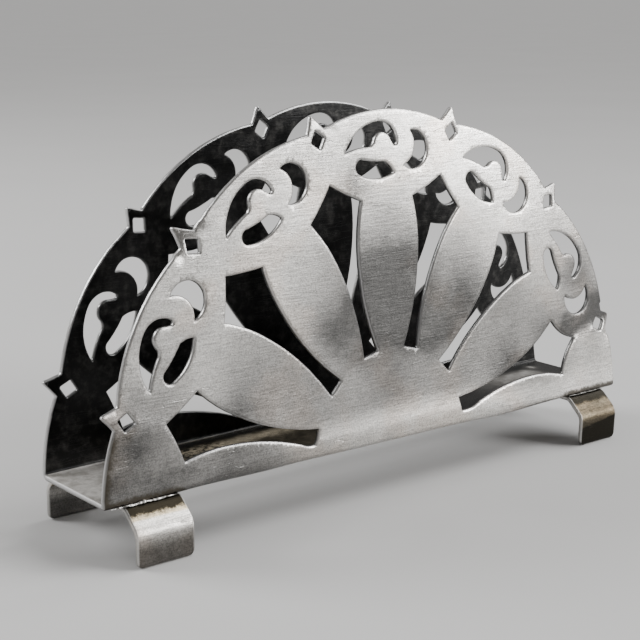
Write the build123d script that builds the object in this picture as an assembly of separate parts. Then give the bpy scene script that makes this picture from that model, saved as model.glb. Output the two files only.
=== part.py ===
from build123d import *
import math
import os

# A fan-shaped napkin holder: one pierced sheet folded into a channel, two strap feet
# soldered across its base, and the four beads of solder that show at the folds.
# Millimetres. X runs along the holder, Y from front to back, Z up. The origin is on the
# table, under the middle of the base.

# The folded sheet
SHEET = 1.1                 # sheet thickness
FOLD_RADIUS = 0.8           # inside radius of both folds
BASE_DEPTH = 25.5           # front face to rear face, at the folds
BASE_HALF_LENGTH = 72.1     # the ends of the base and of both folds
FRONT_LEAN = 3.5            # degrees, the front panel leans in over the base
BACK_LEAN = -1.0            # degrees, the back panel leans out a little
BACK_SKEW = 1.4             # degrees, the back fold was made out of square

# The fan pattern: a twelve-spoke rosette about a hub just under the fold
HUB_DROP = 1.26             # the hub lies this far below the fold's outer corner
SPOKE = 30.0                # degrees between lobes, and between tabs
TAB_TIP = 74.4              # radius of the pointed tabs
TAB_ROOT = (2.3, 70.9)      # half width of a tab, and its radius there
TAB_TIP_ROUND = 0.4
LOBE_TOP = 72.2             # radius of a lobe at its middle
DIAMOND_RADIUS = 69.1       # the hole in each tab
DIAMOND_HALF_WIDTH = 1.75
DIAMOND_HALF_HEIGHT = 2.0
DIAMOND_ROUND = 0.25
DIAMOND_NUDGES = {          # each was pierced by eye, this far across and out from its place
    15: (0.13, -0.66),
    45: (0.42, 0.0),
    75: (0.96, -0.10),
    105: (0.0, 0.0),
    135: (-0.35, 0.07),
    165: (-0.36, -0.77),
}
PETAL_HALF_WIDTH = 8.5      # at the widest place
PETAL_WIDEST = 44.0         # radius of the widest place
PETAL_FOOT = 21.5           # the windows between petals end here
PETAL_NECK = 53.5           # the petal joins its lobe here
PETAL_INNER_ARC = 56.0      # side radius from foot to widest place
PETAL_OUTER_ARC = 36.0      # side radius from widest place to neck
ROOF_APEX = 59.3            # radius where two lobes meet over a window
LOBE_UNDER_SAG = 0.2        # the underside of a lobe bulges this much
FULL_WINDOW = SPOKE / 2     # but over the right-hand window both lobes were left fuller
FULL_LOBE_SAG = 0.9
FULL_WINDOW_FOOT = 20.6     # and that window was cut a little further in

# Strap feet
STRAP = 1.0                 # strap thickness
STRAP_WIDTH = 13.1
STRAP_INSET = 4.1           # from the end of the base
STRAP_BEND = 3.0            # outside radius of its bends
FOOT_HEIGHT = 11.2          # table to the underside of the base
FOOT_REACH = 4.9            # a foot stands this far out from the panel
KNEE_HEIGHT = 7.2           # the leg, carried up, meets the strap's slope here
HIP_REACH = 0.35            # the slope, carried up, meets the base this far out

# Solder
BEAD_INSET = 0.6            # a bead is shorter than its strap by this at each end
BEAD_RISE = 0.9             # it climbs the fold this far
BEAD_DROP = 1.0             # its slope, carried on, would sink this far into the strap,
BEAD_REACH = 1.2            # this far out from the fold's corner
BEAD_DEPTH = 1.4            # it goes in under the fold this far

FOLD_OUTSIDE = FOLD_RADIUS + SHEET
HALF_DEPTH = BASE_DEPTH / 2
STRAP_MIDDLE = BASE_HALF_LENGTH - STRAP_INSET - STRAP_WIDTH / 2
LOBES = [SPOKE * k for k in range(7)]
WINDOWS = [SPOKE * k + SPOKE / 2 for k in range(6)]
FAR = 200.0                 # longer than anything here, for trimming


def on_spoke(angle, across, out):
    """The point `out` from the hub along a spoke and `across` to its right."""
    turn = math.radians(angle - 90)
    x = across * math.cos(turn) - out * math.sin(turn)
    y = across * math.sin(turn) + out * math.cos(turn)
    return (x, y - HUB_DROP)


def closed(edges):
    """A face from a ring of edges, in order."""
    return make_face(Wire(edges))


def petal_side(petal, side, out):
    """The point at radius `out` on a petal's edge; side is 1 for its right, -1 for its left."""
    arc = PETAL_OUTER_ARC if out > PETAL_WIDEST else PETAL_INNER_ARC
    half = PETAL_HALF_WIDTH - arc + math.sqrt(arc ** 2 - (out - PETAL_WIDEST) ** 2)
    return on_spoke(petal, side * half, out)


def fan_outline():
    """The outer edge: seven lobes with a pointed tab between each two."""
    across, out = TAB_ROOT
    edges = []
    for lobe in LOBES:
        right = on_spoke(lobe - SPOKE / 2, -across, out)
        left = on_spoke(lobe + SPOKE / 2, across, out)
        edges.append(ThreePointArc(right, on_spoke(lobe, 0, LOBE_TOP), left))
        if lobe != LOBES[-1]:
            tip = on_spoke(lobe + SPOKE / 2, 0, TAB_TIP)
            edges.append(Line(left, tip))
            edges.append(Line(tip, on_spoke(lobe + SPOKE / 2, -across, out)))
    edges.append(Line(edges[-1] @ 1, edges[0] @ 0))
    fan = closed(edges)
    tips = [v for v in fan.vertices() if Vector(v.X, v.Y + HUB_DROP).length > TAB_TIP - 0.1]
    return fillet(tips, TAB_TIP_ROUND)


def window(angle):
    """The opening between two petals, roofed by two lobes."""
    foot_radius = FULL_WINDOW_FOOT if angle == FULL_WINDOW else PETAL_FOOT
    sides = {}
    for name, petal, side in (("right", angle - SPOKE / 2, -1), ("left", angle + SPOKE / 2, 1)):
        foot = petal_side(petal, side, foot_radius)
        low = petal_side(petal, side, (foot_radius + PETAL_WIDEST) / 2)
        wide = petal_side(petal, side, PETAL_WIDEST)
        high = petal_side(petal, side, (PETAL_WIDEST + PETAL_NECK) / 2)
        neck = petal_side(petal, side, PETAL_NECK)
        sides[name] = (foot, low, wide, high, neck)
    apex = on_spoke(angle, 0, ROOF_APEX)
    sag = FULL_LOBE_SAG if angle == FULL_WINDOW else LOBE_UNDER_SAG
    foot, low, wide, high, neck = sides["right"]
    edges = [
        ThreePointArc(foot, low, wide),
        ThreePointArc(wide, high, neck),
        SagittaArc(neck, apex, sag),
    ]
    foot, low, wide, high, neck = sides["left"]
    edges += [
        SagittaArc(apex, neck, sag),
        ThreePointArc(neck, high, wide),
        ThreePointArc(wide, low, foot),
        Line(foot, sides["right"][0]),
    ]
    return closed(edges)


def diamond(angle):
    """The four-sided hole in a tab."""
    across, further = DIAMOND_NUDGES[angle]
    out = DIAMOND_RADIUS + further
    corners = [
        on_spoke(angle, across, out + DIAMOND_HALF_HEIGHT),
        on_spoke(angle, across - DIAMOND_HALF_WIDTH, out),
        on_spoke(angle, across, out - DIAMOND_HALF_HEIGHT),
        on_spoke(angle, across + DIAMOND_HALF_WIDTH, out),
    ]
    face = closed([Line(corners[k - 1], corners[k]) for k in range(4)])
    return fillet(face.vertices(), DIAMOND_ROUND)


def swoosh(lobe):
    """The long hooked piercing that curls over a knob."""
    def p(across, out):
        return on_spoke(lobe, across, out)

    tail, crown, hook = p(-11.0, 63.6), p(-1.4, 69.6), p(3.0, 65.2)
    hook_end, knob_right = p(2.1, 64.9), p(1.45, 65.9)
    knob_left, heel = p(-3.15, 66.0), p(-4.4, 64.6)
    return closed([
        ThreePointArc(tail, p(-7.0, 68.0), crown),
        ThreePointArc(crown, p(1.72, 68.25), hook),
        ThreePointArc(hook, p(2.6, 64.62), hook_end),
        Line(hook_end, knob_right),
        ThreePointArc(knob_right, p(-0.95, 67.45), knob_left),
        ThreePointArc(knob_left, p(-3.6, 65.1), heel),
        ThreePointArc(heel, p(-7.8, 64.35), tail),
    ])


def crescent(lobe):
    """The crescent piercing: one round less another."""
    body_at, body_radius = on_spoke(lobe, 7.55, 63.35), 4.05
    bite_at, bite_radius = on_spoke(lobe, 3.6, 64.5), 4.5
    return Pos(*body_at) * Circle(body_radius) - Pos(*bite_at) * Circle(bite_radius)


def bean(lobe):
    """The bean-shaped piercing under the swoosh, pointed at one end."""
    def p(across, out):
        return on_spoke(lobe, across, out)

    point, belly_end, head, shoulder = p(1.9, 58.85), p(-7.2, 59.1), p(-6.6, 62.0), p(-0.4, 61.25)
    return closed([
        ThreePointArc(point, p(-3.0, 57.9), belly_end),
        ThreePointArc(belly_end, p(-8.2, 60.6), head),
        ThreePointArc(head, p(-3.4, 61.4), shoulder),
        ThreePointArc(shoulder, p(0.9, 60.3), point),
    ])


def fan_face(turn):
    """The pierced fan, drawn about the fold's corner and turned in its own plane."""
    fan = fan_outline()
    for angle in WINDOWS:
        fan -= window(angle)
        fan -= diamond(angle)
    for lobe in LOBES[1:-1]:
        fan -= swoosh(lobe)
        fan -= crescent(lobe)
        fan -= bean(lobe)
    return Rot(0, 0, turn) * fan


def fold_tangent(lean):
    """How far from the fold's outer corner its curve ends."""
    return FOLD_OUTSIDE * math.tan(math.radians(90 + lean) / 2)


def fold_section(lean, run):
    """The folded corner from the end: the base runs to the right and the panel goes up."""
    lean_sin, lean_cos = math.sin(math.radians(lean)), math.cos(math.radians(lean))
    height = fold_tangent(lean) + SHEET
    up = SHEET * (1 + lean_sin) / lean_cos
    points = [
        (0, 0),
        (run, 0),
        (run, SHEET),
        (SHEET * lean_cos + up * lean_sin, SHEET),
        (SHEET * lean_cos + height * lean_sin, height * lean_cos - SHEET * lean_sin),
        (height * lean_sin, height * lean_cos),
    ]
    face = closed([Line(points[k - 1], points[k]) for k in range(len(points))])
    outer = face.vertices().sort_by_distance(points[0])[0]
    face = fillet(outer, FOLD_OUTSIDE)
    inner = face.vertices().sort_by_distance(points[3])[0]
    return fillet(inner, FOLD_RADIUS)


def folded_strip(lean, run):
    """A fold with its part of the base, centred along X, its outer corner on the X axis."""
    section = Plane.YZ * fold_section(lean, run)
    return extrude(section, amount=FAR / 2, both=True)


def fan_panel(lean, turn, side):
    """A pierced panel standing on the X axis above its fold; side is -1 for the front one.

    The plane is the panel's outside face, and both fans read the same way from the front.
    """
    up = Vector(0, -side * math.sin(math.radians(lean)), math.cos(math.radians(lean)))
    outside = Plane(origin=(0, 0, 0), x_dir=(1, 0, 0), z_dir=Vector(1, 0, 0).cross(up))
    above_fold = Pos(0, fold_tangent(lean) + FAR / 2) * Rectangle(FAR, FAR)
    return extrude(outside * (fan_face(turn) & above_fold), amount=side * SHEET)


def at_fold(side):
    """The place of a fold's outer corner, front (-1) or back (1)."""
    skew = BACK_SKEW if side > 0 else 0
    return Pos(0, side * HALF_DEPTH, FOOT_HEIGHT) * Rot(0, 0, skew)


def folded_body():
    """The one sheet: front panel, base and back panel."""
    overlap = BASE_HALF_LENGTH * math.tan(math.radians(BACK_SKEW)) + SHEET
    front = fan_panel(FRONT_LEAN, 0, -1) + folded_strip(FRONT_LEAN, HALF_DEPTH)
    strip = Rot(0, 0, 180) * folded_strip(BACK_LEAN, HALF_DEPTH + overlap)
    back = fan_panel(BACK_LEAN, -BACK_SKEW, 1) + strip
    sheet = at_fold(-1) * front + at_fold(1) * back
    return sheet & Box(2 * BASE_HALF_LENGTH, FAR, 2 * FAR)


def strap_line(reach, knee, hip, top, radius):
    """One surface of a strap from foot to foot: two legs, two slopes and the flat between."""
    return FilletPolyline((-reach, 0), (-reach, knee), (-hip, top), (hip, top), (reach, knee),
                          (reach, 0), radius=radius)


def strap_foot(side):
    """A strap across the underside of the base, sloping down to a foot at both ends."""
    reach, hip = HALF_DEPTH + FOOT_REACH, HALF_DEPTH + HIP_REACH
    slope = math.atan2(FOOT_HEIGHT - KNEE_HEIGHT, reach - hip)
    outer = strap_line(reach, KNEE_HEIGHT, hip, FOOT_HEIGHT, STRAP_BEND)
    inner = strap_line(
        reach - STRAP,
        KNEE_HEIGHT - STRAP * math.tan((math.pi / 2 - slope) / 2),
        hip - STRAP * math.tan(slope / 2),
        FOOT_HEIGHT - STRAP,
        STRAP_BEND - STRAP,
    )
    ends = [Line(outer @ 1, inner @ 1), Line(inner @ 0, outer @ 0)]
    section = closed(outer.edges() + inner.edges() + ends)
    strap = extrude(Plane.YZ * section, amount=STRAP_WIDTH / 2, both=True)
    return Pos(side * STRAP_MIDDLE, 0, 0) * strap


def solder_bead(side, end, body, strap):
    """The solder in the notch between a fold and the strap under it; end is -1 at the front."""
    points = [
        (-BEAD_DEPTH, -BEAD_DROP),
        (BEAD_REACH, -BEAD_DROP),
        (-SHEET / 3, BEAD_RISE),
        (-BEAD_DEPTH, BEAD_RISE),
    ]
    points = [(end * y, z) for y, z in points]
    section = closed([Line(points[k - 1], points[k]) for k in range(len(points))])
    block = extrude(Plane.YZ * section, amount=STRAP_WIDTH / 2 - BEAD_INSET, both=True)
    return at_fold(end) * Pos(side * STRAP_MIDDLE, 0, 0) * block - body - strap


def main():
    os.makedirs("parts", exist_ok=True)
    body = folded_body()
    straps = {"left": strap_foot(-1), "right": strap_foot(1)}
    parts = {"folded_fan_body": body}
    for name, side in (("left", -1), ("right", 1)):
        parts[name + "_foot_strap"] = straps[name]
        for place, end in (("front", -1), ("back", 1)):
            bead = solder_bead(side, end, body, straps[name])
            parts["solder_" + name + "_" + place] = bead
    for name, part in parts.items():
        export_step(part, "parts/" + name + ".step")


main()
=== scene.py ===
import math
from typing import NamedTuple

import bpy
import numpy as np
from mathutils import Matrix, Vector, geometry, kdtree, noise


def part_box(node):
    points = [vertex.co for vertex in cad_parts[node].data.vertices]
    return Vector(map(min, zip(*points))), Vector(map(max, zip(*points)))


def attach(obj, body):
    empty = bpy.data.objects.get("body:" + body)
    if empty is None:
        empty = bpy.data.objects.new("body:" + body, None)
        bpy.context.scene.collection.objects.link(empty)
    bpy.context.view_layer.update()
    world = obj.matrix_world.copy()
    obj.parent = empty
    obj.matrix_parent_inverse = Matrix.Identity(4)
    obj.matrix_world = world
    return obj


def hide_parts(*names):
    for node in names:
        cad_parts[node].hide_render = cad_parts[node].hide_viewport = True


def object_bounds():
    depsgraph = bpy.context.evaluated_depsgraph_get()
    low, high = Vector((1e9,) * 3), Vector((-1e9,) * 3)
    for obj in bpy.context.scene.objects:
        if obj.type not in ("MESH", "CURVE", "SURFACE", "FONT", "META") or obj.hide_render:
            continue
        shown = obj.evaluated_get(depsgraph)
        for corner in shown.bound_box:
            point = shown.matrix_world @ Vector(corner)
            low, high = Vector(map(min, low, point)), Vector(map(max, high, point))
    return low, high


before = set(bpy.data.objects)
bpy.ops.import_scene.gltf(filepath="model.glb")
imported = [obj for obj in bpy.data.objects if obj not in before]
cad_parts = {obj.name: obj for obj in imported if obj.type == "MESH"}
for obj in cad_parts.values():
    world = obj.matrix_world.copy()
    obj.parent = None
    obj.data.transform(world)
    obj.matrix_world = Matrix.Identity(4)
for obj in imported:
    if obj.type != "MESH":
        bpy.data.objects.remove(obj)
cad_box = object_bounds()

# A fan-shaped napkin holder of one pierced and folded sheet, on two soldered strap feet.
# The CAD part gives the panels' outlines and every main size. This script makes the sheet
# again with burnished rims, a hand-worked surface, its wear and painted highlight and shade,
# and gives the straps and the solder their real shapes. Mesh work is in millimetres, and MM
# turns it into metres.

MM = 0.001

# The sheet
RING_STEP = 0.6             # longest step along a cut edge
GRID_STEP = 1.5             # spacing of the points inside
GRID_CLEARANCE = 0.95       # and their least distance from a cut edge
FOLD_ROW = 0.35             # spacing of the rows across a fold
FOLD_ROWS_REACH = 5.2       # the rows reach this far to each side of a fold
OUTSIDE_RIM = 0.42          # radius of the burnished rim on the outside
INSIDE_RIM = 0.25           # and on the inside
RIM_STEPS = 4               # rows of points round a rim
FILED_DEPTH = 0.13          # the cut edges wander this much
FRONT_FOLD_TIGHT = 0.7      # outside radius of the front fold at its ends
FRONT_FOLD_SLACK = 4.0      # and at its slackest
SLACK_MIDDLE = -4.0         # it is slackest here along the holder
SLACK_REACH = 58.0          # and tight again this far to each side
SAG = 0.9                   # the slack part of the fold hangs this much lower
SAG_REACH = 53.0
SAG_RISE = 4.5              # the sag is gone this far up the panel
SWELL = 0.16                # slow unevenness of the panels
HAMMERING = 0.03            # the faint unevenness that planishing leaves
DISH = 0.22                 # each petal is dished this much along its middle
WAVE = 0.20                 # the front fan bulges this much, waisted round its hub
FLARE = 0.55                # its foot stands out this much over the slack fold
RIGHT_CREASE = 0.38         # its right corner block stands out this much from its crease
LEFT_CREASE = 0.22
HUB_DROP = 1.26             # the fan's hub lies this far under the fold's corner
PETAL_SPREAD = 30.0         # degrees from one petal to the next
PETAL_HALF_WIDTH = 8.4

# How far each tab was bent, outwards, by its angle
FRONT_TAB_BENDS = {15: -1.9, 45: -0.7, 75: 0.0, 105: -0.5, 135: -2.0, 165: 0.3}
BACK_TAB_BENDS = {15: -0.4, 45: 0.5, 75: 0.3, 105: -0.3, 135: -0.8, 165: 0.4}
TAB_BEND_FROM = 69.0        # radius where the bend starts
TAB_BEND_TO = 74.0
TAB_HALF_ANGLE = 3.5
TAB_TIP = (72.6, 73.4)      # its very tip, which was left sharp

# Spots on the outside that are brighter or darker than round about, partly wear and partly
# painted highlight and shade: each one's place along the holder and up from the hub, its
# reach, and how much brighter it is
WEAR_AND_SHEEN_SPOTS = (
    (-64.7, 10.8, 3.5, -0.17),
    (-68.0, 4.0, 5.0, 0.21),
    (-9.0, 57.0, 5.0, -0.27),
    (0.0, 3.0, 3.2, -0.26),
    (0.5, 16.0, 6.0, -0.13),
    (23.0, 29.5, 6.5, -0.20),
    (34.0, 13.0, 7.0, -0.24),
    (49.0, 19.0, 6.0, -0.32),
    (59.0, 30.5, 5.5, -0.30),
    (64.0, 14.0, 5.5, -0.24),
    (-60.5, 6.0, 4.5, 0.18),
    (-40.0, 14.0, 6.0, -0.22),
    (46.0, 5.0, 7.0, -0.16),
)

# The straps
STRAP_STEPS_ACROSS = 22
STRAP_STEP = 0.35           # spacing of the sections along a strap
STRAP_HALF_THICK = 0.5
STRAP_RIM = 0.3             # radius of its long edges
STRAP_BEND = 2.5            # radius of its bends, at its middle line
STRAP_KNEE = 7.0            # the leg, carried up, meets the slope here
STRAP_HIP = 12.9            # the slope, carried up, meets the base this far out
STRAP_UNEVEN = 0.008        # its knees wander in by up to twice this share of their reach
FOOT_CORNER = 1.6           # the foot's lower corners are rounded by this


class StrapLook(NamedTuple):
    """What is different from one strap to the other."""

    narrower: float         # than the CAD strap, at each side
    tuck: float             # each foot ends this far in from its knee
    foot_shade: float       # painted shade down the feet: 0 for none, and over 1 for black
    grime: float            # stain all over
    brightest: float        # painted sheen on the slopes, from 0 to 1
    seed: int


# Both straps are painted darker down their legs as shade, the right one black, and the right
# one's slopes get little painted sheen
LEFT_STRAP = StrapLook(0.1, 0.2, 0.22, 0.12, 1.0, 1)
RIGHT_STRAP = StrapLook(0.45, 0.4, 1.5, 0.36, 0.16, 2)

# The solder
BEAD_STEP = 0.2             # spacing of the rings along a bead
BEAD_SIDES = 12
BEAD_INSET = 0.62           # its middle is this far in from the CAD bead's outer edge
BEAD_RISE = 0.52            # and this far up from its underside
BEAD_OVERRUN = 3.4          # the front left bead runs on this far past the CAD bead
LEFT_BEAD_RADIUS = 0.25
RIGHT_BEAD_RADIUS = 0.18
LEAST_BEAD_RADIUS = 0.04

# The studio
FLOOR_HALF = 20000.0
SENSOR, LENS = 36.0, 83.78
CAMERA_PLACE = (-0.2054, -0.2421, 0.1080)       # in metres
CAMERA_HEADING = 38.86      # degrees, towards the right from straight in front
CAMERA_TILT = 12.87         # degrees, downwards
CAMERA_ROLL = 0.19


def smoothstep(value, low, high):
    """0 below low, 1 above high, and a smooth curve between."""
    share = np.clip((value - low) / (high - low), 0, 1)
    return share * share * (3 - 2 * share)


def hump(value, middle, reach):
    """1 at the middle, falling smoothly away on each side of it."""
    return np.exp(-((value - middle) / reach) ** 2)


def wander(places, wavelength, seed):
    """Smooth noise from -1 to 1 at each place, the same on every run."""
    shift = Vector((seed * 17.3, seed * 5.1, seed * 11.7))
    return np.array([noise.noise(Vector(p) / wavelength + shift) for p in places])


# Reading the CAD sheet

def triangles(node):
    """The corners of a CAD node's triangles, in millimetres."""
    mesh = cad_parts[node].data
    mesh.calc_loop_triangles()
    places = np.array([v.co for v in mesh.vertices]) / MM
    return places[np.array([t.vertices[:] for t in mesh.loop_triangles])]


def normals_of(corners):
    """Each triangle's unit normal, and twice its area."""
    normals = np.cross(corners[:, 1] - corners[:, 0], corners[:, 2] - corners[:, 0])
    areas = np.linalg.norm(normals, axis=1)
    return normals / np.maximum(areas, 1e-9)[:, None], areas


def outside_face(corners, side):
    """A panel's flat outside face: its triangles and normal. Side is -1 at the front."""
    normals, areas = normals_of(corners)
    middles = corners.mean(axis=1)
    outward = (normals[:, 1] * side > 0.99) & (middles[:, 1] * side > 0)
    largest = np.argmax(areas * outward)
    normal = normals[largest]
    flat = np.abs((middles - middles[largest]) @ normal) < 0.01
    return corners[outward & flat & (normals @ normal > 0.9999)], normal


def outlines(corners):
    """The closed outlines of a flat patch of triangles."""
    index, places = {}, []
    following = {}
    edges = set()
    for triangle in corners:
        ids = []
        for place in triangle:
            key = tuple(np.round(place, 3))
            if key not in index:
                index[key] = len(places)
                places.append(place)
            ids.append(index[key])
        edges |= {(ids[0], ids[1]), (ids[1], ids[2]), (ids[2], ids[0])}
    for start, end in edges:
        if (end, start) not in edges:
            following[start] = end
    loops = []
    while following:
        start, current = following.popitem()
        loop = [start]
        while current != start:
            loop.append(current)
            current = following.pop(current)
        loops.append(np.array([places[k] for k in loop]))
    return sorted(loops, key=lambda loop: -np.ptp(loop[:, 0]))


class Panel:
    """One fan panel's plane: its fold's corner line, its directions and its outlines."""

    def __init__(self, corners, side, underside):
        face, self.out = outside_face(corners, side)
        self.side = side
        along = np.cross((0, 0, 1), self.out)
        self.along = along / np.linalg.norm(along) * np.sign(along[0])
        up = np.cross(self.out, self.along)
        self.up = up * np.sign(up[2])
        depth = (face[0, 0] @ self.out - self.out[2] * underside) / self.out[1]
        self.corner = np.array([0.0, depth, underside])
        loops = [self.flatten(loop) for loop in outlines(face)]
        self.outline, self.holes = self.opened(loops[0]), loops[1:]

    def flatten(self, places):
        """Places on the panel as (along, up) from the corner line."""
        offsets = places - self.corner
        return np.stack([offsets @ self.along, offsets @ self.up], axis=1)

    def opened(self, loop):
        """The outline from its lower right end, over the top, to its lower left end."""
        low = loop[:, 1] < loop[:, 1].min() + 0.02
        keep = ~low
        keep[np.argmax(np.where(low, loop[:, 0], -1e9))] = True
        keep[np.argmin(np.where(low, loop[:, 0], 1e9))] = True
        kept = loop[keep]
        start = np.argmax(np.where(kept[:, 1] < kept[:, 1].min() + 0.02, kept[:, 0], -1e9))
        kept = np.roll(kept, -start, axis=0)
        if kept[1, 1] < kept[-1, 1]:
            kept = np.roll(kept[::-1], 1, axis=0)
        # The CAD fold ends in a tiny step under each corner block, which is smoothed away
        return np.delete(kept, [1, len(kept) - 2], axis=0)


# The sheet, laid out flat: x along the holder, and y round the channel from the front
# panel's top, over the base, to the back panel's top

def rounded_ring(ring, step):
    """A ring with its long edges divided, and round wherever it is round."""
    count = len(ring)
    edges = np.roll(ring, -1, axis=0) - ring
    lengths = np.linalg.norm(edges, axis=1)
    ways = edges / lengths[:, None]
    before, before_length = np.roll(ways, 1, axis=0), np.roll(lengths, 1)
    smooth = (ways * before).sum(axis=1) > math.cos(math.radians(28))
    tangents = before * lengths[:, None] + ways * before_length[:, None]
    tangents /= np.linalg.norm(tangents, axis=1)[:, None]
    made = []
    for k in range(count):
        after = (k + 1) % count
        way, length = ways[k], lengths[k]
        curved_start = smooth[k] and length < 3 * before_length[k]
        curved_end = smooth[after] and length < 3 * lengths[after]
        start = tangents[k] if curved_start else None
        end = tangents[after] if curved_end else None
        if start is None:
            start = way if end is None else 2 * (way @ end) * way - end
        if end is None:
            end = 2 * (way @ start) * way - start
        parts = max(1, math.ceil(length / step))
        for part in range(parts):
            s = part / parts
            made.append(
                ring[k] * (2 * s ** 3 - 3 * s ** 2 + 1)
                + start * length * (s ** 3 - 2 * s ** 2 + s)
                + ring[after] * (3 * s ** 2 - 2 * s ** 3)
                + end * length * (s ** 3 - s ** 2)
            )
    return np.array(made)


def ring_normals(ring):
    """The unit direction to the left of a ring at each of its points."""
    ways = np.roll(ring, -1, axis=0) - ring
    ways /= np.linalg.norm(ways, axis=1)[:, None]
    middle = ways + np.roll(ways, 1, axis=0)
    middle /= np.maximum(np.linalg.norm(middle, axis=1), 1e-6)[:, None]
    return np.stack([-middle[:, 1], middle[:, 0]], axis=1)


def signed_area(ring):
    """Positive for a ring that runs anticlockwise."""
    after = np.roll(ring, -1, axis=0)
    return 0.5 * (ring[:, 0] * after[:, 1] - after[:, 0] * ring[:, 1]).sum()


def filed(ring, half_depth, seed):
    """The ring with the small wobbles of a hand-filed edge, never outside itself."""
    places = np.column_stack([ring, np.zeros(len(ring))])
    wobble = 0.6 * wander(places, 2.6, seed) + 0.4 * wander(places, 0.9, seed + 1)
    out = np.hypot(ring[:, 0], np.abs(ring[:, 1]) - half_depth + HUB_DROP)
    depth = FILED_DEPTH * (0.5 + 0.5 * wobble) * (1 - 0.9 * smoothstep(out, *TAB_TIP))
    return ring + ring_normals(ring) * depth[:, None]


def laid_out(panels, half_depth):
    """The rings of the whole sheet laid out flat, with the material on their left."""
    rings = []
    walls = {}
    for panel in panels:
        def place(loop, side=panel.side):
            return np.stack([loop[:, 0], side * (half_depth + loop[:, 1])], axis=1)
        walls[panel.side] = place(panel.outline)
        rings += [place(hole) for hole in panel.holes]
    rings.insert(0, np.concatenate([walls[-1], walls[1][::-1]]))
    made = []
    for number, ring in enumerate(rings):
        wanted = 1 if number == 0 else -1
        if signed_area(ring) * wanted < 0:
            ring = ring[::-1]
        made.append(filed(rounded_ring(ring, RING_STEP), half_depth, number))
    return made


class Edges:
    """Finds how far a point is from the nearest cut edge."""

    def __init__(self, rings):
        self.points = np.concatenate(rings)
        starts = np.cumsum([0] + [len(ring) for ring in rings])
        self.after = np.arange(len(self.points)) + 1
        for start, end in zip(starts[:-1], starts[1:]):
            self.after[end - 1] = start
        self.before = np.empty(len(self.points), int)
        self.before[self.after] = np.arange(len(self.points))
        self.tree = kdtree.KDTree(len(self.points))
        for k, (x, y) in enumerate(self.points):
            self.tree.insert((x, y, 0), k)
        self.tree.balance()

    def distances(self, places):
        nearest = np.array([self.tree.find((x, y, 0))[1] for x, y in places])
        one = self.to_edge(places, nearest, self.after[nearest])
        return np.minimum(one, self.to_edge(places, nearest, self.before[nearest]))

    def to_edge(self, places, starts, ends):
        a, b = self.points[starts], self.points[ends]
        along = b - a
        share = ((places - a) * along).sum(axis=1) / (along * along).sum(axis=1)
        nearest = a + along * np.clip(share, 0, 1)[:, None]
        return np.linalg.norm(places - nearest, axis=1)


def on_sheet(rings, places):
    """Whether each place is inside the first ring and outside the others."""
    order = np.argsort(places[:, 1])
    x, y = places[order].T
    inside = np.zeros(len(places), bool)
    for ring in rings:
        for start, end in zip(ring, np.roll(ring, -1, axis=0)):
            low, high = (start, end) if start[1] < end[1] else (end, start)
            first, last = np.searchsorted(y, (low[1], high[1]))
            if last > first:
                share = (y[first:last] - low[1]) / (high[1] - low[1])
                inside[first:last] ^= x[first:last] < low[0] + share * (high[0] - low[0])
    found = np.empty(len(places), bool)
    found[order] = inside
    return found


def corner_fan(ring, reach):
    """Points `reach` from each corner that the material wraps round, evenly fanned out."""
    ways = np.roll(ring, -1, axis=0) - ring
    headings = np.arctan2(ways[:, 1], ways[:, 0])
    turns = (headings - np.roll(headings, 1) + math.pi) % (2 * math.pi) - math.pi
    points = []
    for corner, heading, turn in zip(ring, headings, turns):
        parts = math.ceil(-turn / math.radians(18))
        for part in range(1, parts if parts > 1 else 0):
            left = heading + math.pi / 2 - turn * part / parts
            points.append(corner + reach * np.array([math.cos(left), math.sin(left)]))
    return np.array(points).reshape(-1, 2)


def rim_rows(rings, edges):
    """Rows of points along each cut edge, close together where its rim is rounded."""
    rows = []
    for number in range(1, RIM_STEPS + 2):
        turn = math.radians(90 * min(number / RIM_STEPS, 1))
        reach = OUTSIDE_RIM * (1 - math.cos(turn))
        if number > RIM_STEPS:
            reach = OUTSIDE_RIM * 1.5
        for ring in rings:
            row = ring + ring_normals(ring) * reach
            if reach > RING_STEP / 2:
                row = row[::2]
            row = np.concatenate([row, corner_fan(ring, reach)])
            rows.append(row[edges.distances(row) > 0.93 * reach])
    return np.concatenate(rows)


def grid_points(rings, edges, half_depth):
    """The points away from the cut edges: an even grid, with close rows at the folds."""
    low, high = rings[0].min(axis=0), rings[0].max(axis=0)
    row_step = GRID_STEP * math.sqrt(3) / 2
    rows = np.arange(low[1], high[1], row_step)
    columns = np.arange(low[0], high[0], GRID_STEP)
    even = [(x + GRID_STEP / 2 * (k % 2), y) for k, y in enumerate(rows) for x in columns]
    even = np.array(even)
    even = even[np.abs(np.abs(even[:, 1]) - half_depth) > FOLD_ROWS_REACH + row_step / 2]
    offsets = np.arange(-FOLD_ROWS_REACH, FOLD_ROWS_REACH + FOLD_ROW / 2, FOLD_ROW)
    folds = [(x, side * (half_depth + offset))
             for side in (-1, 1) for offset in offsets for x in columns]
    points = np.concatenate([even, np.array(folds)])
    far = edges.distances(points)
    near_fold = np.abs(np.abs(points[:, 1]) - half_depth) <= FOLD_ROWS_REACH + 0.01
    clear = np.where(near_fold, 0.75, GRID_CLEARANCE)
    points = points[far > clear]
    return points[on_sheet(rings, points)]


def triangulated(rings, points):
    """Triangles over the sheet laid out flat, none of them in a hole."""
    vertices, constraints = [], []
    for ring in rings:
        start = len(vertices)
        vertices += [Vector(p) for p in ring]
        count = len(ring)
        constraints += [(start + k, start + (k + 1) % count) for k in range(count)]
    vertices += [Vector(p) for p in points]
    inside_constraints = 1
    made = geometry.delaunay_2d_cdt(vertices, constraints, [], inside_constraints, 1e-6)
    flat, faces = np.array([v[:] for v in made[0]]), np.array([f[:] for f in made[2]])
    return flat, faces[on_sheet(rings, flat[faces].mean(axis=1))]


# Folding it

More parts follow.
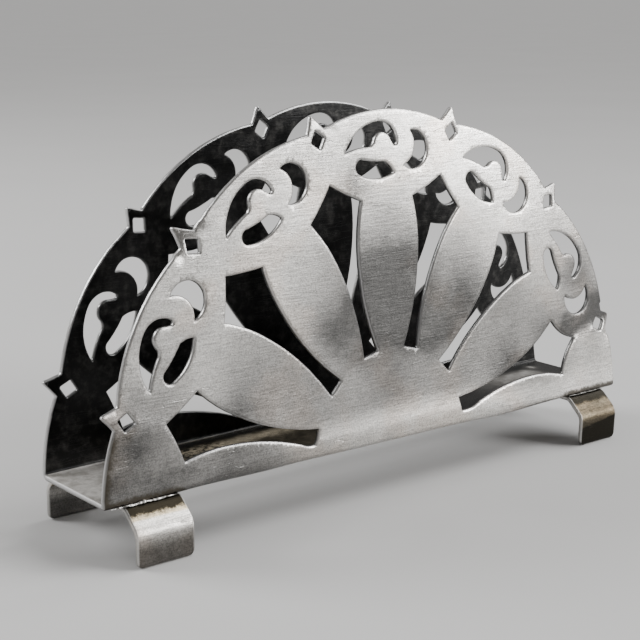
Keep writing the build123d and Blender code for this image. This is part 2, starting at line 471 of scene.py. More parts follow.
class Sheet:
    """Folds the sheet laid out flat into its channel, with its relief and its thickness."""

    def __init__(self, front, back, half_depth, thickness, fold_radius):
        self.panels = {-1: front, 1: back}
        self.half_depth = half_depth
        self.thickness = thickness
        self.fold_radius = fold_radius

    def corner_line(self, side, x):
        panel = self.panels[side]
        return panel.corner + panel.along * x[:, None]

    def place(self, flat, depth):
        """Where points of the flat layout lie, `depth` under the outside surface."""
        x, y = flat[:, 0], flat[:, 1]
        made = np.zeros((len(flat), 3))
        for side in (-1, 1):
            mine = (y < 0) if side < 0 else (y >= 0)
            made[mine] = self.half(side, x[mine], np.abs(y[mine]), depth[mine])
        return made

    def half(self, side, x, y, depth):
        """One panel with its fold and its half of the base."""
        panel = self.panels[side]
        corner = self.corner_line(side, x)
        across = self.corner_line(-side, x) - corner
        width = np.linalg.norm(across, axis=1)
        across /= width[:, None]
        run = y - self.half_depth
        run = np.where(run < 0, run * width / (2 * self.half_depth), run)
        radius = self.fold_radius_at(side, x)
        sag = self.sag_at(side, x, run)
        angle = np.arccos(np.clip(across @ panel.up, -1, 1))
        tangent = radius / np.tan(angle / 2)
        share = np.clip((run + tangent) / (2 * tangent), 0, 1)
        down = np.array([0.0, 0.0, -1.0])
        turn = math.acos(float(down @ panel.out))
        normal = (np.sin((1 - share) * turn)[:, None] * down
                  + np.sin(share * turn)[:, None] * panel.out) / math.sin(turn)
        bisector = across + panel.up
        bisector /= np.linalg.norm(bisector, axis=1)[:, None]
        centre = corner + bisector * (radius / np.sin(angle / 2))[:, None]
        curve = centre + normal * radius[:, None]
        flat_part = corner + panel.up * np.maximum(run, 0)[:, None]
        flat_part += across * np.maximum(-run, 0)[:, None]
        bent = (np.abs(run) < tangent)[:, None]
        surface = np.where(bent, curve, flat_part)
        surface[:, 2] -= sag
        return surface + normal * (self.relief(side, x, run) - depth)[:, None]

    def fold_radius_at(self, side, x):
        """The front fold is tight at its ends and slack in between."""
        if side > 0:
            return np.full(len(x), self.fold_radius)
        slack = 1 - smoothstep(np.abs(x - SLACK_MIDDLE), 18.0, SLACK_REACH)
        return FRONT_FOLD_TIGHT + (FRONT_FOLD_SLACK - FRONT_FOLD_TIGHT) * slack

    def sag_at(self, side, x, run):
        """How far the slack fold, and the sheet beside it, hangs below its true place."""
        if side > 0:
            return np.zeros(len(x))
        along = 1 - smoothstep(np.abs(x), 30.0, SAG_REACH)
        return SAG * along * (1 - smoothstep(run, 0.5, SAG_RISE)) * smoothstep(run, -12.0, -2.0)

    def relief(self, side, x, up):
        """How far the worked surface stands out from its plane."""
        out = np.hypot(x, up + HUB_DROP)
        angle = np.degrees(np.arctan2(up + HUB_DROP, x))
        places = np.column_stack([x, up, np.full(len(x), 40.0 * side)])
        on_panel = smoothstep(up, 1.0, 8.0)
        relief = SWELL * wander(places, 26.0, 3) * on_panel
        relief += HAMMERING * wander(places, 7.0, 8) * on_panel
        relief += self.petals(out, angle) * on_panel
        relief += self.tab_bends(side, out, angle)
        if side < 0:
            relief += self.front_shape(x, up, out, angle)
        return relief

    def petals(self, out, angle):
        """Each petal is dished a little along its middle."""
        off = np.radians((angle + PETAL_SPREAD / 2) % PETAL_SPREAD - PETAL_SPREAD / 2)
        across = np.abs(out * np.sin(off)) / PETAL_HALF_WIDTH
        length = smoothstep(out, 18.0, 34.0) * (1 - smoothstep(out, 46.0, 58.0))
        return -DISH * (1 - np.clip(across, 0, 1) ** 2) * length

    def tab_bends(self, side, out, angle):
        bends = FRONT_TAB_BENDS if side < 0 else BACK_TAB_BENDS
        share = np.clip((out - TAB_BEND_FROM) / (TAB_BEND_TO - TAB_BEND_FROM), 0, 1.2)
        relief = np.zeros(len(out))
        for tab, bend in bends.items():
            near = np.abs(angle - tab) < TAB_HALF_ANGLE
            relief += np.where(near, bend * share ** 1.6, 0)
        return relief

    def front_shape(self, x, up, out, angle):
        """The front panel bulges, flares at its foot and is creased over each corner block."""
        flare = FLARE * hump(x, 8.0, 34.0) * hump(np.maximum(up, 0), 0, 9.0)
        flare *= smoothstep(up, -6.0, 1.0)
        settled = smoothstep(up, 2.5, 12.0)
        wave = WAVE * (smoothstep(out, 14.0, 46.0) - smoothstep(out, 44.0, 76.0)) * settled
        blocks = RIGHT_CREASE * (1 - smoothstep(angle, 14.6, 15.8))
        blocks += LEFT_CREASE * smoothstep(angle, 163.4, 165.6)
        blocks *= smoothstep(out, 50, 58)
        return flare + wave + blocks * settled


def rim_drop(distance, radius):
    """How far a rounded rim falls away at a distance from its cut edge."""
    reach = np.clip(radius - distance, 0, radius)
    return radius - np.sqrt(radius ** 2 - reach ** 2)


def mesh_object(name, vertices, faces, material):
    """A smooth mesh object from millimetres."""
    mesh = bpy.data.meshes.new(name)
    mesh.from_pydata((np.asarray(vertices) * MM).tolist(), [], faces)
    mesh.validate()
    mesh.polygons.foreach_set("use_smooth", [True] * len(mesh.polygons))
    mesh.materials.append(material)
    made = bpy.data.objects.new(name, mesh)
    bpy.context.scene.collection.objects.link(made)
    return made


def store(piece, name, values):
    """Keeps one number for each vertex, for the material to read."""
    attribute = piece.data.attributes.new(name, "FLOAT", "POINT")
    attribute.data.foreach_set("value", np.asarray(values, np.float32))


def boundary_edges(faces):
    """The directed edges that only one triangle has."""
    edges = set()
    for a, b, c in faces:
        edges |= {(a, b), (b, c), (c, a)}
    return [(a, b) for a, b in edges if (b, a) not in edges]


def sheet_sizes():
    """The CAD sheet's front and back panels, its thickness and its folds' outside radius."""
    corners = triangles("folded_fan_body")
    underside = corners[:, :, 2].min()
    front = Panel(corners, -1, underside)
    back = Panel(corners, 1, underside)
    levels = corners[:, :, 2].max(axis=1)
    facing_up = normals_of(corners)[0][:, 2] > 0.9999
    bed = levels[facing_up & (levels < underside + 5)].max()
    rise = front.outline[:, 1].min()
    angle = math.acos(float(front.up[1]))
    return front, back, bed - underside, rise * math.tan(angle / 2)


def stains_and_fold_shade(flat, away, half_depth):
    """How dark each point of the sheet's outside is: old flux and tarnish at the left end and by
    the straps, and painted shade under the fold.
    """
    x, run = flat[:, 0], np.abs(flat[:, 1]) - half_depth
    left_end = smoothstep(-x, 58.0, 65.0) * hump(away, 0, 2.2)
    left_end *= (run > 1.0) * (1 - smoothstep(run, 12.0, 17.0))
    by_strap = smoothstep(np.abs(x), 50.0, 56.0) * hump(np.maximum(run, 0), 0, 1.8)
    # Painted shade on the fold's underside and the base
    shade_under_fold = smoothstep(-run, 0.2, 2.0)
    front = np.maximum(0.8 * left_end, np.maximum(by_strap, shade_under_fold))
    return np.where(flat[:, 1] < 0, front, shade_under_fold)


def bed_wear(flat, half_depth):
    """How scuffed the sheet is between the fans: most at its open left end."""
    x, y = flat[:, 0], flat[:, 1]
    open_end = smoothstep(-x, 52.0, 64.0)
    left = 0.28 + 0.60 * hump(y, 5.5, 2.0)
    left *= smoothstep(-x, 6.0, 14.0) * (1 - smoothstep(y, 7.5, 9.5))
    right = smoothstep(x, 36.0, 54.0) * (1 - smoothstep(x, 62.0, 66.0))
    right *= 0.6 * (1 - smoothstep(y, 5.8, 9.2))
    scrape = 0.8 * hump(x, 65.8, 1.1) * hump(y, 7.8, 1.3)
    scuffed = 0.04 + np.max([open_end, left, right, scrape], axis=0)
    return np.clip(scuffed, 0, 1) * smoothstep(half_depth - np.abs(y), -0.5, 2.0)


def flux(flat, half_depth):
    """How crusted with old flux each point of the bed is: a little, and more by the strap."""
    x = -flat[:, 0]
    crust = 0.3 * smoothstep(x, 6.0, 14.0) + 0.7 * smoothstep(x, 30.0, 36.0)
    crust *= 1 - smoothstep(x, 46.0, 58.0)
    return crust * smoothstep(half_depth - np.abs(flat[:, 1]), 0, 2.0)


def fan_sheen_and_shade(x, up, out, angle):
    """How much the fan adds to the brightness: a painted highlight on the lobes, over painted
    shade on the middle petals.
    """
    # Painted highlight on the lobes, most on the right and less on the left
    lobes = smoothstep(out, 42.0, 60.0)
    right_lobes = smoothstep(x, -5.0, 24.0) * smoothstep(angle, 40.0, 55.0) * lobes
    left_lobes = smoothstep(angle, 90.0, 96.0) * smoothstep(out, 54.0, 60.0)
    off_middle = smoothstep(np.abs(angle - 90), 8.0, 26.0)
    # Painted shade over the middle petals
    dull = hump(out, 33.0 - 8.0 * off_middle, 14.0 - 3.0 * off_middle)
    dull *= smoothstep(angle, 42.0, 60.0) * (1 - smoothstep(angle, 116.0, 136.0))
    dull *= smoothstep(up, 15.0, 24.0)
    bright = 0.29 * lobes + 0.46 * right_lobes - 0.14 * left_lobes - 0.40 * dull
    # Painted shade on the lowest lobe on the right, most of all beside its tab
    bright -= 0.20 * hump(angle, 28.0, 7.0) * smoothstep(out, 56.0, 62.0)
    bright -= 0.95 * hump(angle, 18.0, 3.4) * smoothstep(out, 54.0, 59.0)
    return bright


def foot_brightness(x, up, angle):
    """How much the fold and the corner blocks add to the brightness: a painted highlight along
    the fold and on the right block, and darker towards the left end.
    """
    fold = hump(x, 14.0, 42.0) * (1 - smoothstep(up, 5.0, 10.5))
    left_fold = smoothstep(-x, 20.0, 36.0) * (1 - smoothstep(up, 5.0, 10.0))
    left_block = smoothstep(-x, 45.0, 60.0) * (1 - smoothstep(up, 14.0, 30.0))
    right_block = smoothstep(x, 52.0, 60.0) * (1 - smoothstep(angle, 14.6, 16.2))
    # Painted highlight along the fold and over the right block; the left end is darker
    return 0.85 * fold - 0.30 * left_fold - 0.25 * left_block + 0.30 * right_block


def polish_and_sheen(flat, half_depth):
    """How bright each point of the sheet's outside is, from 0 to 1: partly polish from handling,
    partly painted highlight and shade.
    """
    x, up = flat[:, 0], np.abs(flat[:, 1]) - half_depth + HUB_DROP
    out, angle = np.hypot(x, up), np.degrees(np.arctan2(up, x))
    # Painted highlight and shade from the fan and the fold, over a plain brightness
    bright = 0.27 + fan_sheen_and_shade(x, up, out, angle) + foot_brightness(x, up, angle)
    for along, rise, reach, brighter in WEAR_AND_SHEEN_SPOTS:
        bright += brighter * hump(np.hypot(x - along, up - rise), 0, reach)
    # The back panel's outside gets the same brightness, squeezed towards an even middle
    bright = np.where(flat[:, 1] < 0, bright, 0.42 + 0.35 * (bright - 0.5))
    return np.clip(bright, 0, 1)


def fan_body(material):
    """The folded sheet, made again from the CAD part's outlines."""
    front, back, thickness, fold_radius = sheet_sizes()
    half_depth = (back.corner[1] - front.corner[1]) / 2
    rings = laid_out((front, back), half_depth)
    edges = Edges(rings)
    points = np.concatenate([rim_rows(rings, edges), grid_points(rings, edges, half_depth)])
    flat, faces = triangulated(rings, points)
    sheet = Sheet(front, back, half_depth, thickness, fold_radius)
    away = edges.distances(flat)
    outside = sheet.place(flat, rim_drop(away, OUTSIDE_RIM))
    inside = sheet.place(flat, thickness - rim_drop(away, INSIDE_RIM))
    count = len(flat)
    # The layout is seen from inside the channel, so its own winding faces inwards
    skin = [tuple(int(k) + count for k in face) for face in faces]
    skin += [tuple(int(k) for k in face[::-1]) for face in faces]
    skin += [(int(a), int(b), int(b) + count, int(a) + count)
             for a, b in boundary_edges(faces)]
    piece = mesh_object("fan_body", np.concatenate([outside, inside]), skin, material)
    store(piece, "inside", np.repeat([0.0, 1.0], count))
    store(piece, "rim", np.clip(np.tile(away, 2), 0, 5))
    # Nearness to the outer outline, whose cut walls are painted lit
    store(piece, "outer", np.clip(2 - np.tile(Edges(rings[:1]).distances(flat), 2), 0, 1))
    store(piece, "bed", np.tile(bed_wear(flat, half_depth), 2))
    store(piece, "flux", np.tile(flux(flat, half_depth), 2))
    store(piece, "stain_and_shade", np.tile(stains_and_fold_shade(flat, away, half_depth), 2))
    store(piece, "polish_and_sheen", np.tile(polish_and_sheen(flat, half_depth), 2))
    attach(piece, "root")
    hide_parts("folded_fan_body")


# Materials

class Graph:
    """A material's nodes, with a short call for each kind used here."""

    def __init__(self, name):
        self.material = bpy.data.materials.new(name)
        self.material.use_nodes = True
        self.tree = self.material.node_tree
        self.shader = self.tree.nodes["Principled BSDF"]
        self.place = self.add("ShaderNodeTexCoord").outputs["Object"]

    def add(self, kind, inputs=(), **settings):
        node = self.tree.nodes.new(kind)
        for name, value in settings.items():
            setattr(node, name, value)
        for socket, value in dict(inputs).items():
            self.feed(node.inputs[socket], value)
        return node

    def feed(self, socket, value):
        if isinstance(value, bpy.types.NodeSocket):
            self.tree.links.new(value, socket)
        else:
            socket.default_value = value

    def stretched(self, scale, turn=(0, 0, 0)):
        """Object coordinates in millimetres, scaled apart along each axis."""
        size = [part / MM for part in scale]
        mapping = self.add("ShaderNodeMapping", {"Vector": self.place, "Scale": size})
        mapping.inputs["Rotation"].default_value = [math.radians(t) for t in turn]
        return mapping.outputs["Vector"]

    def noise(self, vector, detail=3.0, roughness=0.5):
        inputs = {"Vector": vector, "Scale": 1.0, "Detail": detail, "Roughness": roughness}
        return self.add("ShaderNodeTexNoise", inputs).outputs["Fac"]

    def cells(self, vector, scale):
        inputs = {"Vector": vector, "Scale": scale}
        return self.add("ShaderNodeTexVoronoi", inputs).outputs["Distance"]

    def ramp(self, value, low, high, start=0.0, end=1.0):
        """Maps low..high to start..end, smoothly, and holds it outside."""
        inputs = {"Value": value, "From Min": low, "From Max": high,
                  "To Min": start, "To Max": end}
        node = self.add("ShaderNodeMapRange", inputs, interpolation_type="SMOOTHSTEP")
        return node.outputs["Result"]

    def math(self, operation, *values):
        node = self.add("ShaderNodeMath", operation=operation)
        for socket, value in zip(node.inputs, values):
            self.feed(socket, value)
        return node.outputs["Value"]

    def mix(self, share, one, other, blend="MIX"):
        """One colour going over to another as share goes from 0 to 1."""
        node = self.add("ShaderNodeMix", data_type="RGBA", blend_type=blend)
        colours = [s for s in node.inputs if s.type == "RGBA"]
        self.feed(node.inputs["Factor"], share)
        for socket, colour in zip(colours, (one, other)):
            self.feed(socket, colour)
        return next(s for s in node.outputs if s.type == "RGBA")

    def grey(self, value):
        """A grey colour as bright as a number."""
        inputs = {"Red": value, "Green": value, "Blue": value}
        return self.add("ShaderNodeCombineColor", inputs).outputs["Color"]

    def attribute(self, name):
        return self.add("ShaderNodeAttribute", attribute_name=name).outputs["Fac"]

    def bump(self, height, distance):
        inputs = {"Height": height, "Distance": distance * MM, "Strength": 1.0}
        return self.add("ShaderNodeBump", inputs).outputs["Normal"]


def grey(value, warmth=0.0):
    """A grey, warmer as warmth grows."""
    return (value * (1 + warmth), value, value * (1 - 1.6 * warmth), 1)


def scratches(graph, turn, width):
    """Thin scattered scratches, all lying roughly one way."""
    lines = graph.noise(graph.stretched((0.045, 0.9, 0.9), (0, turn, 0)), detail=1)
    thin = graph.math("ABSOLUTE", graph.math("SUBTRACT", lines, 0.5))
    thin = graph.ramp(thin, 0.0, width, 1.0, 0.0)
    where = graph.noise(graph.stretched((0.09, 0.09, 0.09), (0, turn, 30)), detail=1)
    return graph.math("MULTIPLY", thin, graph.ramp(where, 0.53, 0.61))


def pits(graph):
    """Small dark pits, scattered unevenly."""
    cells = graph.cells(graph.stretched((1, 1, 1)), 0.85)
    spread = graph.noise(graph.stretched((0.10, 0.10, 0.10), (0, 50, 0)), detail=2)
    return graph.math("LESS_THAN", cells, graph.ramp(spread, 0.42, 0.72, 0.02, 0.15))


def worn_metal_and_sheen(graph, light, dark):
    """Old plated sheet: its colour, dark to light by the polish and painted sheen attribute, its
    slow mottling and the height of its fine surface.
    """
    clouds = graph.noise(graph.stretched((0.06, 0.06, 0.06)), detail=4, roughness=0.55)
    mottle = graph.noise(graph.stretched((0.45, 0.45, 0.45)), detail=5, roughness=0.65)
    grain = graph.noise(graph.stretched((3.0, 3.0, 3.0)), detail=4, roughness=0.8)
    brushing = graph.noise(graph.stretched((0.20, 3.2, 3.2), (0, 3, 0)), detail=3, roughness=0.65)
    tint = graph.noise(graph.stretched((0.07, 0.07, 0.07), (20, 10, 5)), detail=3)
    cloudy = graph.ramp(clouds, 0.34, 0.66, -0.06, 0.06)
    # Dark to light by polish and by painted highlight and shade
    share = graph.math("ADD", graph.attribute("polish_and_sheen"), cloudy)
    share = graph.math("ADD", share, graph.ramp(mottle, 0.35, 0.75, 0.03, -0.04))
    colour = graph.mix(share, dark, light)
    rosy = (1.0, 0.93, 0.88, 1)
    colour = graph.mix(graph.ramp(tint, 0.50, 0.66, 0.0, 0.7), colour, rosy, "MULTIPLY")
    speckled = graph.ramp(grain, 0.38, 0.66, 1.14, 0.60)
    lined = graph.ramp(brushing, 0.38, 0.66, 1.07, 0.82)
    shade = graph.math("MULTIPLY", speckled, lined)
    colour = graph.mix(1.0, colour, graph.grey(shade), "MULTIPLY")
    marks = graph.math("MAXIMUM", scratches(graph, 38, 0.006), scratches(graph, -62, 0.005))
    pitted = graph.math("MULTIPLY", pits(graph), 0.6)
    colour = graph.mix(graph.math("MULTIPLY", marks, 0.7), colour, grey(0.08))
    colour = graph.mix(pitted, colour, grey(0.09))
    height = graph.math("ADD", graph.math("MULTIPLY", grain, 0.7), brushing)
    height = graph.math("SUBTRACT", height, graph.math("ADD", pitted, marks))
    return colour, mottle, height


def blotched(graph, colour, amount, stain_and_shade, cover):
    """The colour with a broken, blotchy dark colour over it, solid where amount is high."""
    blotches = graph.noise(graph.stretched((0.8, 0.8, 0.8), (15, 40, 0)), detail=5, roughness=0.7)
    level = graph.math("ADD", amount, graph.math("SUBTRACT", blotches, 0.55))
    return graph.mix(graph.ramp(level, 0.25, 0.75, 0.0, cover), colour, stain_and_shade)


def lining(graph, mottle, bed):
    """The sheet's inside: near-black painted shade, and a scuffed bed crusted with yellow flux.
    """
    flux_here = graph.attribute("flux")
    # Painted shade: the inside faces are near black
    inside_shade = graph.mix(graph.ramp(mottle, 0.42, 0.78), grey(0.015), grey(0.045, 0.03))
    scuffed = graph.mix(graph.ramp(mottle, 0.30, 0.68), grey(0.40, 0.05), grey(0.66, 0.03))
    patches = graph.noise(graph.stretched((0.7, 0.9, 0.9)), detail=5, roughness=0.75)
    crust = graph.math("MULTIPLY", flux_here, graph.ramp(patches, 0.46, 0.56))
    bare = graph.math("SUBTRACT", 1.0, crust)
    colour = graph.mix(graph.math("MULTIPLY", bed, bare), inside_shade, scuffed)
    yellow = (1.0, 0.90, 0.70, 1)
    return graph.mix(graph.ramp(flux_here, 0.0, 0.3), colour, yellow, "MULTIPLY")


def sheet_material():
    """Warm worn plate outside with painted highlight and shade, near-black painted shade inside,
    a scuffed bed, burnished rims, and cut walls painted lit on the outer outline and shaded round
    the holes.
    """
    graph = Graph("worn_plate_with_painted_light_and_shade")
    colour, mottle, height = worn_metal_and_sheen(graph, grey(0.90, 0.03), grey(0.10, 0.02))
    # Brown for old flux and tarnish, and as painted shade under the fold
    brown = (0.060, 0.052, 0.040, 1)
    colour = blotched(graph, colour, graph.attribute("stain_and_shade"), brown, 0.9)
    depth, bed = graph.attribute("inside"), graph.attribute("bed")
    inside = graph.ramp(depth, 0.35, 0.9)
    # The inside is painted near black as shade, all but the scuffed bed
    colour = graph.mix(inside, colour, lining(graph, mottle, bed))
    # Cut walls painted lit along the outer outline and in shade round the holes
    wall_light_and_shade = graph.mix(graph.attribute("outer"), grey(0.22), grey(0.74))
    rim_colour = graph.mix(graph.ramp(depth, 0.05, 0.3), grey(0.80), wall_light_and_shade)
    edge = graph.ramp(graph.attribute("rim"), 0.0, 0.40, 1.0, 0.0)
    rim_and_wall_mix = graph.math("MULTIPLY", edge, graph.ramp(depth, 0.04, 0.12, 0.4, 0.75))
    colour = graph.mix(rim_and_wall_mix, colour, rim_colour)
    graph.feed(graph.shader.inputs["Base Color"], colour)
    lined_bed = graph.math("MULTIPLY", inside, bed)
    graph.feed(graph.shader.inputs["Metallic"], graph.ramp(lined_bed, 0.0, 1.0, 1.0, 0.55))
    rough = graph.ramp(mottle, 0.35, 0.75, 0.28, 0.40)
    rough = graph.math("ADD", rough, graph.math("MULTIPLY", lined_bed, 0.25))
    graph.feed(graph.shader.inputs["Roughness"], rough)
    graph.feed(graph.shader.inputs["Normal"], graph.bump(height, 0.03))
    return graph.material


def strap_material():
    """The same plate on the straps, yellowed and then blackened by grime and by painted shade
    under the fold and down the feet.
    """
    graph = Graph("worn_strap_with_painted_light_and_shade")
    colour, mottle, height = worn_metal_and_sheen(graph, grey(0.75, 0.04), grey(0.10, 0.04))
    stain_and_shade = graph.attribute("stain_and_shade")
    yellow = (0.78, 0.68, 0.50, 1)
    colour = graph.mix(graph.ramp(stain_and_shade, 0.20, 0.38), colour, yellow, "MULTIPLY")
    # Black for grime, and for painted shade by the fold and down the feet
    black = (0.014, 0.012, 0.008, 1)
    colour = blotched(graph, colour, stain_and_shade, black, 0.99)
    bright = graph.ramp(graph.attribute("rim"), 0.05, 0.5, 0.6, 0.0)
    colour = graph.mix(bright, colour, grey(0.78, 0.02))
    graph.feed(graph.shader.inputs["Base Color"], colour)
    graph.shader.inputs["Metallic"].default_value = 1.0
    graph.feed(graph.shader.inputs["Roughness"], graph.ramp(mottle, 0.35, 0.75, 0.36, 0.50))
    graph.feed(graph.shader.inputs["Normal"], graph.bump(height, 0.035))
    return graph.material


def solder_material(name, brightest):
    """Dull lumpy solder with brighter scraped spots."""
    graph = Graph(name)
    spots = graph.noise(graph.stretched((1.1, 1.1, 1.1)), detail=4, roughness=0.6)
    grain = graph.noise(graph.stretched((3.0, 3.0, 3.0)), detail=3)
    colour = graph.mix(graph.ramp(spots, 0.35, 0.65), grey(0.06, 0.06), grey(brightest, 0.02))
    graph.feed(graph.shader.inputs["Base Color"], colour)
    graph.shader.inputs["Metallic"].default_value = 1.0
    graph.feed(graph.shader.inputs["Roughness"], graph.ramp(spots, 0.3, 0.7, 0.55, 0.28))
    graph.feed(graph.shader.inputs["Normal"], graph.bump(grain, 0.08))
    return graph.material


# The straps and the solder

def tube_faces(rings, sides, flip=False):
    """The faces of a closed tube made of rings of points."""
    faces = []
    for ring in range(rings - 1):
        here, there = ring * sides, (ring + 1) * sides
        for k in range(sides):
            after = (k + 1) % sides
            face = (here + k, here + after, there + after, there + k)
            faces.append(face[:1] + face[:0:-1] if flip else face)
    first = tuple(range(sides))
    last = tuple((rings - 1) * sides + k for k in range(sides))
    return faces + ([first, last[::-1]] if flip else [first[::-1], last])


def filleted_path(points, radius, step):
    """A line through points with each inner corner rounded."""
    made = [np.array(points[0], float)]
    for before, corner, after in zip(points[:-2], points[1:-1], points[2:]):
        before, corner, after = (np.array(p, float) for p in (before, corner, after))
        back = (before - corner) / np.linalg.norm(before - corner)
        on = (after - corner) / np.linalg.norm(after - corner)
        half = math.acos(float(np.clip(back @ on, -1, 1))) / 2
        centre = corner + (back + on) / np.linalg.norm(back + on) * radius / math.sin(half)
        start = corner + back * radius / math.tan(half) - centre
        end = corner + on * radius / math.tan(half) - centre
        sweep = math.pi - 2 * half
        parts = max(2, math.ceil(radius * sweep / step))
        for part in range(parts + 1):
            share = part / parts
            weight = (math.sin((1 - share) * sweep), math.sin(share * sweep))
            made.append(centre + (start * weight[0] + end * weight[1]) / math.sin(sweep))
    made.append(np.array(points[-1], float))
    return np.array(made)


def evenly(path, step):
    """Points at even steps along a path, and the length to each."""
    lengths = np.concatenate([[0], np.cumsum(np.linalg.norm(np.diff(path, axis=0), axis=1))])
    count = math.ceil(lengths[-1] / step) + 1
    stations = np.linspace(0, lengths[-1], count)
    places = np.stack([np.interp(stations, lengths, path[:, k]) for k in (0, 1)], axis=1)
    return places, stations


def strap_section(half_width, half_thick):
    """The strap's rounded cross-section: across, and out from its middle."""
    inner_width, inner_thick = half_width - STRAP_RIM, half_thick - STRAP_RIM
    flat = np.linspace(-1, 1, STRAP_STEPS_ACROSS) * inner_width
    section = [(x, half_thick) for x in flat]
    down = (67.5, 45, 22.5, 0)
    for middle, turns in ((inner_thick, down), (-inner_thick, [-t for t in down[::-1]])):
        section += [(inner_width + STRAP_RIM * math.cos(t), middle + STRAP_RIM * math.sin(t))
                    for t in np.radians(turns)]
    # The other half is the same, turned half way round
    return np.concatenate([section, -np.array(section)])


def strap_path(reach, top, tuck):
    """The strap's middle line from foot to foot, as (y, z), and the length to each point."""
    corners = [(-reach + tuck, 0), (-reach, STRAP_KNEE), (-STRAP_HIP, top),
               (STRAP_HIP, top), (reach, STRAP_KNEE), (reach - tuck, 0)]
    return evenly(filleted_path(corners, STRAP_BEND, 0.25), STRAP_STEP)


def strap_skin(path, lengths, middle, half_width):
    """The strap's points, and how far each is from the strap's edges."""
    ways = np.gradient(path, axis=0)
    ways /= np.linalg.norm(ways, axis=1)[:, None]
    outs = np.stack([-ways[:, 1], ways[:, 0]], axis=1)
    from_end = np.minimum(lengths, lengths[-1] - lengths)
    section = strap_section(half_width, STRAP_HALF_THICK)
    places, rims = [], []
    for place, out, far in zip(path, outs, from_end):
        corner = max(FOOT_CORNER - far, 0)
        narrowed = half_width - FOOT_CORNER + math.sqrt(FOOT_CORNER ** 2 - corner ** 2)
        thin = STRAP_RIM - math.sqrt(max(STRAP_RIM ** 2 - max(STRAP_RIM - far, 0) ** 2, 0))
        for across, up in section:
            across *= narrowed / half_width
            up *= (STRAP_HALF_THICK - thin) / STRAP_HALF_THICK
            y, z = place + out * up
            places.append((middle + across, y, max(z, 0)))
            rims.append(min(half_width - abs(across), far + 0.05))
    return np.array(places), np.maximum(rims, 0)


def strap_stain_and_shade(places, middle, look):
    """How dark the strap is: painted shade by the fold and down its feet, and grime."""
    # Painted shade on the slope under the fold
    shade_by_fold = 1.15 * (1 - smoothstep(np.abs(places[:, 1]), 13.0, 16.8))
    # Painted shade down the feet, below a slanting line
    foot_top = 5.0 + 0.13 * (places[:, 0] - middle)
    foot = look.foot_shade * (1 - smoothstep(places[:, 2] - foot_top, -1.2, 1.2))
    return np.maximum(np.maximum(shade_by_fold, foot), look.grime)


def strap(name, node, material, look):
    """A strap across the underside of the base, sloping down to a foot at each end."""
    low, high = (np.array(corner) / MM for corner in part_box(node))
    middle = (low[0] + high[0]) / 2
    half_width = (high[0] - low[0]) / 2 - look.narrower
    reach, top = high[1] - STRAP_HALF_THICK, high[2] - STRAP_HALF_THICK
    path, lengths = strap_path(reach, top, look.tuck)
    places, rims = strap_skin(path, lengths, middle, half_width)
    near_knee = np.clip(1 - np.abs(places[:, 2] - STRAP_KNEE) / 6, 0, 1)
    places[:, 1] *= 1 - STRAP_UNEVEN * (1 + wander(places, 9.0, look.seed)) * near_knee
    faces = tube_faces(len(path), len(places) // len(path))
    piece = mesh_object(name, places, faces, material)
    store(piece, "rim", rims)
    store(piece, "stain_and_shade", strap_stain_and_shade(places, middle, look))
    # Painted sheen and shade: lighter up the slopes, darker down the legs
    store(piece, "polish_and_sheen", smoothstep(places[:, 2], 3.0, 9.0) * look.brightest)
    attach(piece, "root")
    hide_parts(node)


def bead_ring(x, centre_y, centre_z, radius, seed):
    """One lumpy ring of a bead of solder."""
    ring = []
    for k in range(BEAD_SIDES):
        turn = 2 * math.pi * k / BEAD_SIDES
        lump = 1 + 0.3 * noise.noise(Vector((x / 0.8, math.cos(turn) + seed, math.sin(turn))))
        y = centre_y + radius * 1.3 * lump * math.cos(turn)
        ring.append((x, y, centre_z + radius * lump * math.sin(turn)))
    return ring


def bead(name, node, material, end, overrun, thickness, seed):
    """An uneven run of solder along the notch between a fold and its strap."""
    low, high = (np.array(corner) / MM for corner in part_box(node))
    start, stop = low[0] - overrun, high[0]
    stations = np.linspace(start, stop, math.ceil((stop - start) / BEAD_STEP) + 1)
    outer = low[1] if end < 0 else high[1]
    centre_y, centre_z = outer - end * BEAD_INSET, low[2] + BEAD_RISE
    places = []
    for number, x in enumerate(stations):
        taper = math.sqrt(max(math.sin(math.pi * number / (len(stations) - 1)), 0.0))
        swell = noise.noise(Vector((x / 1.7, seed, 0)))
        swell += 0.5 * noise.noise(Vector((x / 0.6, 0, seed)))
        radius = max(thickness * (1 + 0.8 * swell) * taper, LEAST_BEAD_RADIUS)
        sway = 0.15 * noise.noise(Vector((x / 2.3, seed, 9)))
        places += bead_ring(x, centre_y, centre_z + sway, radius, seed)
    faces = tube_faces(len(stations), BEAD_SIDES, flip=True)
    piece = mesh_object(name, places, faces, material)
    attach(piece, "root")
    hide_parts(node)


# The studio

def floor():
    """A plain pale table top."""
    graph = Graph("pale_floor")
    mottle = graph.noise(graph.stretched((0.01, 0.01, 0.01)), detail=2)
    colour = graph.mix(mottle, grey(0.56, 0.005), grey(0.60, 0.005))
    graph.feed(graph.shader.inputs["Base Color"], colour)
    graph.shader.inputs["Roughness"].default_value = 0.8
    half = FLOOR_HALF
    corners = [(-half, -half, 0), (half, -half, 0), (half, half, 0), (-half, half, 0)]
    made = mesh_object("floor", corners, [(0, 1, 2, 3)], graph.material)


def light(name, kind, azimuth, elevation, distance, energy):
    """A light aimed at the middle of the object; azimuth 0 is in front."""
    middle = (cad_box[0] + cad_box[1]) / 2
    a, e = math.radians(azimuth), math.radians(elevation)
    way = Vector((math.sin(a) * math.cos(e), -math.cos(a) * math.cos(e), math.sin(e)))
    data = bpy.data.lights.new(name, kind)
    data.energy = energy
    made = bpy.data.objects.new(name, data)
    made.location = middle + way * distance
    made.rotation_mode = "QUATERNION"
    made.rotation_quaternion = way.to_track_quat("Z", "Y")
    bpy.context.scene.collection.objects.link(made)
    return data


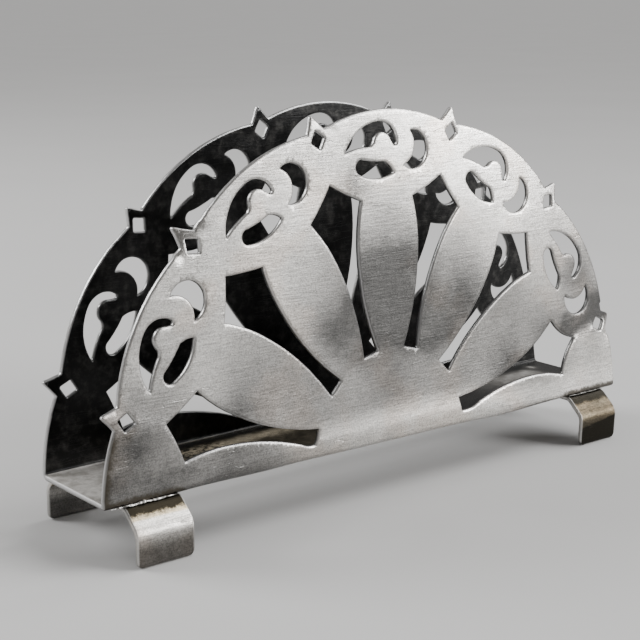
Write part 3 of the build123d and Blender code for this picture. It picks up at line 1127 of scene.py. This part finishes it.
def softbox(name, azimuth, elevation, distance, size, power):
    """A square light close by."""
    light(name, "AREA", azimuth, elevation, distance, power).size = size


def overhead(name, azimuth, elevation, spread, strength):
    """A broad distant light, which lights the table evenly."""
    light(name, "SUN", azimuth, elevation, 2.0, strength).angle = math.radians(spread)


def studio():
    """A dim, faintly warm room, with the key light on the right and one light behind."""
    world = bpy.data.worlds.new("studio")
    world.use_nodes = True
    background = world.node_tree.nodes["Background"]
    background.inputs["Color"].default_value = (1.0, 0.98, 0.96, 1)
    background.inputs["Strength"].default_value = 0.30
    bpy.context.scene.world = world
    softbox("key", azimuth=42, elevation=18, distance=0.9, size=0.42, power=8.0)
    softbox("back", azimuth=-140, elevation=34, distance=0.9, size=0.4, power=5.5)
    overhead("overhead", azimuth=80, elevation=52, spread=35, strength=1.9)


def camera():
    """A long lens, a little above the holder and well to its left."""
    data = bpy.data.cameras.new("camera")
    data.sensor_width = SENSOR
    data.lens = LENS
    made = bpy.data.objects.new("camera", data)
    heading, tilt = math.radians(CAMERA_HEADING), math.radians(CAMERA_TILT)
    roll = math.radians(CAMERA_ROLL)
    turn = (Matrix.Rotation(-heading, 4, "Z") @ Matrix.Rotation(math.pi / 2 - tilt, 4, "X")
            @ Matrix.Rotation(roll, 4, "Z"))
    made.matrix_world = Matrix.Translation(CAMERA_PLACE) @ turn
    bpy.context.scene.collection.objects.link(made)
    bpy.context.scene.camera = made


def main():
    fan_body(sheet_material())
    straps = strap_material()
    strap("left_strap", "left_foot_strap", straps, LEFT_STRAP)
    strap("right_strap", "right_foot_strap", straps, RIGHT_STRAP)
    scraped, dull = solder_material("scraped_solder", 0.78), solder_material("dull_solder", 0.22)
    for number, (where, end) in enumerate((("front", -1), ("back", 1))):
        overrun = BEAD_OVERRUN if end < 0 else 0.0
        left, right = "solder_left_" + where, "solder_right_" + where
        bead("solder_bead_left_" + where, left, scraped, end, overrun,
             LEFT_BEAD_RADIUS, number)
        bead("solder_bead_right_" + where, right, dull, end, 0.0,
             RIGHT_BEAD_RADIUS, number + 4)
    floor()
    studio()
    camera()


main()
